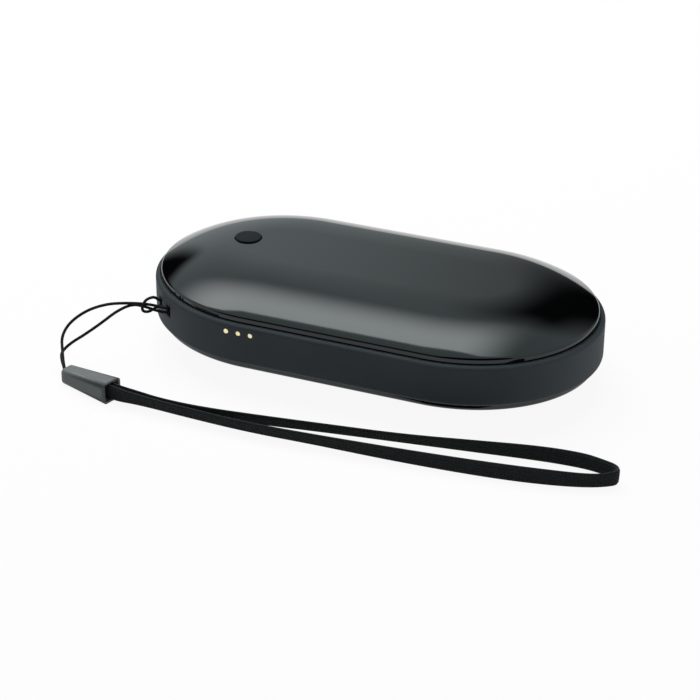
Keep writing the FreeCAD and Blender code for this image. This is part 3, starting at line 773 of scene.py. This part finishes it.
@dataclass
class Band:
    """The moulded band with its lanyard eye, and the lamps in its wall."""

    crease: float = 38.0
    side_half: float = 21.8 * MM
    end_length: float = 33.2 * MM
    half_width: float = 30.0 * MM
    wall_fit: float = 0.02 * MM
    wall_tilt: float = 0.05

    def _even_wall(self, mesh: bpy.types.Mesh) -> None:
        """Give the outer wall the outline's own normals, so its long faces shade evenly.

        Args:
            mesh: The band's mesh.
        """
        normals = [Vector((0.0, 0.0, 0.0)) for _ in mesh.loops]
        for face in mesh.polygons:
            if abs(face.normal.z) > self.wall_tilt:
                continue
            for loop in face.loop_indices:
                place = mesh.vertices[mesh.loops[loop].vertex_index].co
                past = math.copysign(max(abs(place.x) - self.side_half, 0.0), place.x)
                out = Vector((past / self.end_length ** 2, place.y / self.half_width ** 2, 0.0))
                round_share = math.hypot(past / self.end_length, place.y / self.half_width)
                if abs(round_share - 1.0) * self.half_width < self.wall_fit and out.dot(face.normal) > 0.0:
                    normals[loop] = out.normalized()
        mesh.normals_split_custom_set(normals)

    def build(self, book: FinishBook) -> list[bpy.types.Object]:
        """Dress the band and the light pipe.

        Args:
            book: The finishes.

        Returns:
            The pieces.
        """
        band = solid_copy("mid_frame", self.crease)
        self._even_wall(band)
        pipe = solid_copy("light_pipe", self.crease)
        return [
            add_piece("band_skin", band, Body.HOUSING, Slot.BAND, book, ("mid_frame",)),
            add_piece("light_pipe_skin", pipe, Body.HOUSING, Slot.LAMP, book, ("light_pipe",)),
        ]


@dataclass
class Button:
    """The round push button, and the snap dome under it, which the button bends when pressed; both are
    dressed in their own shapes.
    """

    crease: float = 50.0
    dome_keep: float = 0.45

    def build(self, book: FinishBook) -> list[bpy.types.Object]:
        """Dress the button and the dome.

        Args:
            book: The finishes.

        Returns:
            The pieces.
        """
        cap = solid_copy("power_button", self.crease)
        dome = solid_copy("switch_dome", self.crease)
        snap = add_piece("dome_skin", dome, Body.HOUSING, Slot.INLET, book, ("switch_dome",))
        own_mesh(snap)
        return [add_piece("button_skin", cap, Body.BUTTON, Slot.BUTTON, book, ("power_button",)), snap]


CORD_ROUTE: tuple[Point, ...] = (
    (-59.34, -41.74, 2.4), (-61.5, -41.11, 2.4), (-62.9, -39.4, 3.5), (-65.0, -36.0, 4.8),
    (-66.8, -33.0, 6.6), (-66.0, -30.4, 9.2), (-62.6, -28.0, 12.0), (-58.2, -26.4, 13.8),
    (-54.2, -25.3, 14.4), (-50.1, -24.2, 14.6), (-47.0, -23.2, 14.3), (-44.13, -22.52, 13.65),
    (-42.75, -20.75, 13.65), (-43.44, -18.6, 13.65), (-45.65, -17.99, 13.65), (-47.35, -19.47, 13.65),
    (-48.1, -20.7, 15.1), (-48.6, -22.4, 15.5), (-48.8, -24.2, 15.6), (-49.1, -25.4, 14.4),
    (-49.1, -24.9, 13.0), (-48.6, -23.2, 12.2), (-48.5, -21.2, 11.9), (-47.35, -19.47, 12.55),
    (-45.65, -17.99, 12.55), (-43.44, -18.6, 12.55), (-42.75, -20.75, 12.55), (-44.13, -22.52, 12.55),
    (-46.4, -23.2, 12.95), (-49.2, -23.8, 13.8), (-52.4, -24.0, 13.9), (-54.9, -27.2, 13.0),
    (-57.4, -30.1, 10.8), (-60.8, -32.5, 8.1), (-64.2, -33.6, 5.6), (-65.6, -35.6, 3.9),
    (-64.4, -37.6, 3.1), (-62.8, -39.4, 2.3), (-61.5, -41.11, 1.4), (-59.34, -41.74, 1.4),
)

# The strap's route in plan, with its height and its lean to the right of travel in degrees
STRAP_ROUTE: tuple[tuple[float, float, float, float], ...] = (
    (-50.38, -45.0, 2.6, 0), (-46.4, -46.1, 2.5, 6), (-40.0, -46.0, 2.2, 25), (-28.0, -46.7, 2.1, 26),
    (-12.0, -47.4, 2.1, 28), (4.0, -46.5, 2.1, 26), (20.0, -45.7, 2.12, 15), (35.0, -44.5, 2.12, 7),
    (48.0, -43.0, 2.12, 2), (57.5, -41.3, 2.12, 5), (63.8, -39.8, 2.12, 12), (67.8, -38.2, 2.12, 15),
    (70.8, -35.6, 2.12, 6), (69.6, -33.6, 2.12, -4), (66.6, -32.6, 2.12, -8), (61.5, -31.7, 2.12, -3),
    (52.0, -32.5, 2.12, -6), (38.0, -35.2, 2.1, -20), (22.0, -38.2, 2.05, -33), (6.0, -40.6, 2.05, -33),
    (-10.0, -43.2, 2.1, -30), (-24.0, -45.2, 2.1, -26), (-34.0, -45.3, 2.1, -25), (-40.0, -44.9, 2.2, -18),
    (-46.1, -45.0, 2.5, -6), (-50.04, -43.85, 2.6, 0),
)


def nurbs_line(name: str, points: list[Vector]) -> bpy.types.Curve:
    """Make a smooth open line with the route's points as its control points.

    Args:
        name: Name of the curve.
        points: The control points.

    Returns:
        The curve.
    """
    curve = bpy.data.curves.new(name, "CURVE")
    curve.dimensions = "3D"
    curve.resolution_u = 16
    spline = curve.splines.new("NURBS")
    spline.points.add(len(points) - 1)
    for control, point in zip(spline.points, points):
        control.co = (*point, 1.0)
    spline.order_u = 3
    spline.use_endpoint_u = True
    return curve


def read_line(curve: bpy.types.Curve) -> list[Vector]:
    """Read the points along a curve that has no bevel.

    Args:
        curve: The curve.

    Returns:
        Its points in order.
    """
    carrier = bpy.data.objects.new("line_reading", curve)
    bpy.context.scene.collection.objects.link(carrier)
    ready = carrier.evaluated_get(bpy.context.evaluated_depsgraph_get())
    mesh = bpy.data.meshes.new_from_object(ready)
    points = [vert.co.copy() for vert in mesh.vertices]
    bpy.data.objects.remove(carrier)
    bpy.data.meshes.remove(mesh)
    return points


def line_length(points: list[Vector]) -> float:
    """Add up the steps between points.

    Args:
        points: The points in order.

    Returns:
        The length of the line.
    """
    return sum((after - before).length for before, after in zip(points, points[1:]))


@dataclass
class Lanyard:
    """The thin cord hitched to the eye, the bead and the flat strap."""

    cord_radius: float = 0.35 * MM
    strap_width: float = 4.1 * MM
    strap_thickness: float = 0.9 * MM
    rib_count: int = 6
    rib_depth: float = 0.06 * MM
    section_count: int = 96
    flatness: float = 5.0
    eye_exit: Point = (-49.2 * MM, -23.8 * MM, 13.8 * MM)
    mouth_exit: Point = (-46.9 * MM, -45.4 * MM, 2.6 * MM)

    def build(self, book: FinishBook) -> list[bpy.types.Object]:
        """Args:
            book: The finishes.

        Returns:
            The pieces.
        """
        bead_mesh = solid_copy("lanyard_bead", 40.0)
        bead = add_piece("bead_skin", bead_mesh, Body.HOUSING, Slot.BEAD, book, ("lanyard_bead",))
        cord = self._build_cord(book)
        strap = self._build_strap(book)
        return [bead, cord, strap]

    def _build_cord(self, book: FinishBook) -> bpy.types.Object:
        """Build the thin cord as a round curve.

        Args:
            book: The finishes.

        Returns:
            The cord.
        """
        curve = nurbs_line("lanyard_cord_line", [Vector(point) * MM for point in CORD_ROUTE])
        length = line_length(read_line(curve))
        curve.bevel_depth = self.cord_radius
        curve.bevel_resolution = 5
        curve.use_fill_caps = True
        cord = add_piece("lanyard_cord_braid", curve, Body.HOUSING, Slot.CORD, book, ("lanyard_cord",))
        return cord

    def _build_strap(self, book: FinishBook) -> bpy.types.Object:
        """Build the strap by extruding its ribbed section along its line.

        Args:
            book: The finishes.

        Returns:
            The strap.
        """
        line = read_line(nurbs_line("strap_line", [Vector(point[:3]) * MM for point in STRAP_ROUTE]))
        tilts = [Vector((math.radians(point[3]), 0, 0)) for point in STRAP_ROUTE]
        lie = read_line(nurbs_line("strap_lie", tilts))
        places = self._places(line, [point.x for point in lie])
        bm = bmesh.new()
        around = bm.verts.layers.int.new("around")
        along = bm.verts.layers.float.new("along")
        ring = bmesh.ops.create_circle(bm, segments=self.section_count, radius=1.0)["verts"]
        for index, vert in enumerate(ring):
            vert[around] = index
            vert.co = self._section(index)
        bmesh.ops.transform(bm, matrix=places[0], verts=ring)
        edges = list(bm.edges)
        bmesh.ops.contextual_create(bm, geom=edges)
        run = 0.0
        for before, after in zip(places, places[1:]):
            grown = bmesh.ops.extrude_edge_only(bm, edges=edges)["geom"]
            verts = [item for item in grown if isinstance(item, bmesh.types.BMVert)]
            edges = [item for item in grown if isinstance(item, bmesh.types.BMEdge)]
            bmesh.ops.transform(bm, matrix=after @ before.inverted(), verts=verts)
            run += (after.translation - before.translation).length
            for vert in verts:
                vert[along] = run
        bmesh.ops.contextual_create(bm, geom=edges)
        bmesh.ops.recalc_face_normals(bm, faces=bm.faces)
        self._map(bm, around, along)
        mesh = mesh_from(bm, "wrist_strap_tape", 60.0)
        strap = add_piece("wrist_strap_tape", mesh, Body.HOUSING, Slot.STRAP, book, ("wrist_strap",))
        return strap

    @staticmethod
    def _places(line: list[Vector], leans: list[float]) -> list[Matrix]:
        """Work out where the section stands at each point of the line.

        Args:
            line: Points of the line.
            leans: Lean to the right of travel at each point.

        Returns:
            One place for each point, with X up the strap's width and Z along the line.
        """
        places = []
        for index, (point, lean) in enumerate(zip(line, leans)):
            ahead = (line[min(index + 1, len(line) - 1)] - line[max(index - 1, 0)]).normalized()
            right = ahead.cross(Vector((0, 0, 1))).normalized()
            rise = right.cross(ahead) * math.cos(lean) + right * math.sin(lean)
            turn = Matrix((rise, ahead.cross(rise), ahead)).transposed()
            places.append(Matrix.Translation(point) @ turn.to_4x4())
        return places

    def _section(self, index: int) -> Vector:
        """Give one point of the strap's ribbed section.

        Args:
            index: Number of the point round the section.

        Returns:
            The point, with X across the width and Y through the thickness.
        """
        angle = math.tau * index / self.section_count
        across = math.cos(angle)
        share = math.sqrt(1 - abs(across) ** self.flatness) if abs(across) < 1 else 0.0
        rib = self.rib_depth * math.cos(math.tau * self.rib_count * across / 2) * share
        thick = self.strap_thickness / 2 * share - self.rib_depth + rib
        return Vector((self.strap_width / 2 * across, math.copysign(max(thick, 0.0), math.sin(angle)), 0.0))

    def _map(self, bm: bmesh.types.BMesh, around: object, along: object) -> None:
        """Lay a flat map in metres on the strap, along its run and round its section.

        Args:
            bm: The bmesh.
            around: Layer with each vertex's number round the section.
            along: Layer with each vertex's run along the strap.
        """
        flat = bm.loops.layers.uv.new("UVMap")
        girth = 2 * (self.strap_width + self.strap_thickness)
        for face in bm.faces:
            numbers = [loop.vert[around] for loop in face.loops]
            wraps = max(numbers) - min(numbers) > self.section_count / 2
            for loop, number in zip(face.loops, numbers):
                turned = number + self.section_count if wraps and number == 0 else number
                loop[flat].uv = (loop.vert[along], girth * turned / self.section_count)


@dataclass
class InnerWorks:
    """Solids that keep their own shape: each gets the finish of its slot."""

    def dress(self, book: FinishBook, shown: set[str]) -> None:
        """Give every solid that still shows its material.

        Args:
            book: The finishes.
            shown: Solids that a piece already stands for.
        """
        for row in frame["record"]["subparts"]:
            node = frame["nodes"][row["node"]]
            material = book.material(Slot(row["material_slot"]))
            if not node.material_slots:
                node.data.materials.append(material)
            for slot in node.material_slots:
                slot.material = material
            if row["node"] not in shown:
                log.info("dressed %s", row["node"])


Feather = tuple[tuple[float, float], tuple[float, float]]
HARD_EDGES: Feather = ((0.0, 0.0), (0.0, 0.0))


@dataclass(frozen=True)
class Card:
    """A card of the studio that only reflections see, set by where it stands round the object."""

    name: str
    azimuth: tuple[float, float]
    elevation: tuple[float, float]
    light: float
    feather: Feather = HARD_EDGES
    distance: float = 0.9


@dataclass(frozen=True)
class LevelCard:
    """A level card that only reflections see, hung over the object."""

    name: str
    low: tuple[float, float]
    high: tuple[float, float]
    light: float
    feather: Feather
    height: float


@dataclass
class Studio:
    """Camera, floor, soft light and surroundings."""

    camera_place: Point = (0.17227, -0.43136, 0.2490)
    camera_aim: Point = (-0.00395, -0.00664, 0.00328)
    camera_roll: float = math.radians(0.325)
    lens: float = 113.14
    floor_size: float = 6.0
    floor_drop: float = 0.05 * MM
    floor_glow: float = 1.0
    floor_glow_share: float = 0.92
    floor_white: float = 0.85
    floor_bounce_loss: float = 0.65
    softbox_size: tuple[float, float] = (1.45, 0.8)
    softbox_place: Point = (-0.58, 0.34, 0.8)
    softbox_light: float = 3.8
    wall_light: tuple[float, float] = (0.6, 0.88)
    wall_tint: Colour = (0.88, 0.975, 1.0)
    wall_rise: float = 0.36
    fill_light: float = 0.22
    cards: list[Card] = field(default_factory=lambda: [
        Card("dark_back", (-32.0, 42.0), (-6.0, 64.0), 0.0, ((0.51, 0.36), (0.0, 0.47))),
        Card("dark_left", (-88.0, -40.0), (-2.0, 31.0), 0.0, ((0.18, 0.26), (0.0, 0.3))),
        Card("dark_front", (128.0, 184.0), (-1.0, 66.0), 0.0, ((0.0, 0.0), (0.0, 0.34))),
        Card("dark_front_left", (184.0, 236.0), (13.0, 50.0), 0.0, ((0.0, 0.3), (0.0, 0.2))),
    ])
    level_cards: list[LevelCard] = field(default_factory=lambda: [
        LevelCard("softbox_face", (-1.25, -0.02), (0.27, 0.5), 5.0, ((0.5, 0.22), (0.0, 0.85)), 0.8),
    ])

    def build(self) -> None:
        """Set up the whole studio."""
        self._aim_camera()
        self._lay_floor()
        self._hang_softbox()
        self._surround()
        for card in self.cards:
            self._stand_card(card)
        for card in self.level_cards:
            self._lay_card(card)
        bpy.context.scene.view_settings.view_transform = "Standard"

    def _aim_camera(self) -> None:
        """Place the camera at the photograph's viewing angle."""
        data = bpy.data.cameras.new("camera")
        data.lens = self.lens
        data.clip_start = 0.01
        camera = bpy.data.objects.new("camera", data)
        bpy.context.scene.collection.objects.link(camera)
        back = (Vector(self.camera_place) - Vector(self.camera_aim)).normalized()
        level = Vector((0, 0, 1)).cross(back).normalized()
        right = Matrix.Rotation(self.camera_roll, 3, back) @ level
        turn = Matrix((right, back.cross(right), back)).transposed()
        camera.matrix_world = Matrix.Translation(self.camera_place) @ turn.to_4x4()
        bpy.context.scene.camera = camera

    def _flat(self, name: str, size: tuple[float, float]) -> bpy.types.Object:
        """Add a flat stage rectangle.

        Args:
            name: Name of the rectangle.
            size: Its two sides.

        Returns:
            The rectangle, facing +Z at the origin.
        """
        bm = bmesh.new()
        bmesh.ops.create_grid(bm, x_segments=1, y_segments=1, size=0.5, matrix=Matrix.Diagonal((*size, 1, 1)))
        mesh = bpy.data.meshes.new(name)
        bm.to_mesh(mesh)
        bm.free()
        flat = bpy.data.objects.new(name, mesh)
        bpy.context.scene.collection.objects.link(flat)
        return flat

    def _lay_floor(self) -> None:
        """Lay the pale floor: it shows white where the light falls, and keeps the object's shadow."""
        floor = self._flat("floor", (self.floor_size, self.floor_size))
        floor.location.z = -self.floor_drop
        material = bpy.data.materials.new("floor_white")
        material.use_nodes = True
        material.node_tree.nodes.clear()
        sheet = NodeSheet(material.node_tree)
        path = sheet.add("ShaderNodeLightPath")
        white = sheet.maths("MULTIPLY_ADD", path.outputs["Is Diffuse Ray"], -self.floor_bounce_loss)
        sheet.fill(white.node, {2: self.floor_white})
        paper = sheet.add("ShaderNodeBsdfDiffuse", inputs={"Color": white})
        glow = sheet.add("ShaderNodeEmission", inputs={"Strength": self.floor_glow})
        mirrored = sheet.maths("MAXIMUM", path.outputs["Is Glossy Ray"], path.outputs["Is Transmission Ray"])
        seen = sheet.maths("MAXIMUM", path.outputs["Is Camera Ray"], mirrored)
        share = sheet.maths("MULTIPLY", seen, self.floor_glow_share)
        mix = sheet.add("ShaderNodeMixShader", inputs={0: share, 1: paper.outputs[0], 2: glow.outputs[0]})
        sheet.add("ShaderNodeOutputMaterial", inputs={"Surface": mix.outputs[0]})
        floor.data.materials.append(material)

    def _hang_softbox(self) -> None:
        """Hang the light of the large softbox, whose bright face is one of the cards."""
        light = bpy.data.lights.new("softbox", "AREA")
        light.shape = "RECTANGLE"
        light.size, light.size_y = self.softbox_size
        light.energy = self.softbox_light * math.pi * light.size * light.size_y
        box = bpy.data.objects.new("softbox", light)
        box.location = self.softbox_place
        box.visible_camera = False
        box.visible_glossy = False
        bpy.context.scene.collection.objects.link(box)

    def _surround(self) -> None:
        """Surround the object with a white backdrop, walls that brighten upwards and a weaker fill light."""
        world = bpy.data.worlds.new("studio")
        world.use_nodes = True
        world.node_tree.nodes.clear()
        sheet = NodeSheet(world.node_tree)
        path = sheet.add("ShaderNodeLightPath")
        toward = sheet.add("ShaderNodeTexCoord").outputs["Generated"]
        height = sheet.add("ShaderNodeSeparateXYZ", inputs={0: toward}).outputs[2]
        low, high = self.wall_light
        wall = sheet.add("ShaderNodeMapRange", inputs={0: height, 2: self.wall_rise, 3: low, 4: high})
        mirrored = sheet.maths("MAXIMUM", path.outputs["Is Glossy Ray"], path.outputs["Is Transmission Ray"])
        strength = sheet.add("ShaderNodeMix", inputs={0: mirrored, 2: self.fill_light, 3: wall.outputs[0]})
        seen = path.outputs["Is Camera Ray"]
        shown = sheet.add("ShaderNodeMix", inputs={0: seen, 2: strength.outputs[0], 3: 1.0})
        colour = mixed_colour(sheet, seen, self.wall_tint, (1.0, 1.0, 1.0))
        back = sheet.add("ShaderNodeBackground", inputs={"Color": colour, "Strength": shown.outputs[0]})
        sheet.add("ShaderNodeOutputWorld", inputs={"Surface": back.outputs[0]})
        bpy.context.scene.world = world

    def _stand_card(self, card: Card) -> None:
        """Stand one card up so that it faces the object.

        Args:
            card: The card.
        """
        azimuth = math.radians(sum(card.azimuth) / 2)
        low, high = (card.distance * math.tan(math.radians(edge)) for edge in card.elevation)
        width = 2 * card.distance * math.tan(math.radians(card.azimuth[1] - card.azimuth[0]) / 2)
        size = (width, high - low)
        flat = self._flat(card.name, size)
        away = Vector((math.sin(azimuth), math.cos(azimuth), 0.0))
        turn = Matrix((away.cross(Vector((0, 0, 1))), Vector((0, 0, 1)), -away)).transposed()
        middle = away * card.distance + Vector((0, 0, (low + high) / 2))
        flat.matrix_world = Matrix.Translation(middle) @ turn.to_4x4()
        self._light_card(flat, size, card)

    def _lay_card(self, card: LevelCard) -> None:
        """Hang one level card.

        Args:
            card: The card.
        """
        low, high = Vector(card.low), Vector(card.high)
        size = tuple(high - low)
        flat = self._flat(card.name, size)
        flat.location = (*((low + high) / 2), card.height)
        self._light_card(flat, size, card)

    @staticmethod
    def _light_card(flat: bpy.types.Object, size: tuple[float, float], card: Card | LevelCard) -> None:
        """Give a card its light, fade its feathered edges and hide it from all but reflections.

        Args:
            flat: The card's rectangle.
            size: Its two sides.
            card: Its light and the feathered share of each side at the low and the high edge.
        """
        material = bpy.data.materials.new(flat.name)
        material.use_nodes = True
        material.node_tree.nodes.clear()
        sheet = NodeSheet(material.node_tree)
        place = sheet.add("ShaderNodeTexCoord").outputs["Object"]
        split = sheet.add("ShaderNodeSeparateXYZ", inputs={0: place})
        mask = 1.0
        for axis, shares in enumerate(card.feather):
            for share, side in zip(shares, (1, -1)):
                edge = sheet.maths("MULTIPLY_ADD", split.outputs[axis], side / size[axis])
                sheet.fill(edge.node, {2: 0.5})
                fade = {0: edge, 2: max(share, MM)}
                ramp = sheet.add("ShaderNodeMapRange", {"interpolation_type": "SMOOTHSTEP"}, fade)
                mask = sheet.maths("MULTIPLY", mask, ramp.outputs[0])
        clear = sheet.add("ShaderNodeBsdfTransparent")
        glow = sheet.add("ShaderNodeEmission", inputs={"Strength": card.light})
        mix = sheet.add("ShaderNodeMixShader", inputs={0: mask, 1: clear.outputs[0], 2: glow.outputs[0]})
        sheet.add("ShaderNodeOutputMaterial", inputs={"Surface": mix.outputs[0]})
        flat.data.materials.append(material)
        flat.visible_camera = False
        flat.visible_diffuse = False
        flat.visible_shadow = False


def main() -> None:
    """Build the studio and every sub-assembly in order, and report each piece."""
    logging.basicConfig(level=logging.INFO, format="%(message)s")
    book = FinishBook()
    Studio().build()
    pieces = []
    for assembly in (Lanyard(), Covers(), Band(), Button()):
        pieces += assembly.build(book)
    shown = {node for piece in pieces for node in piece["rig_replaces"]}
    InnerWorks().dress(book, shown)
    log.info("%d pieces on %d solids", len(pieces), len(frame["nodes"]))


if __name__ == "__main__":
    main()
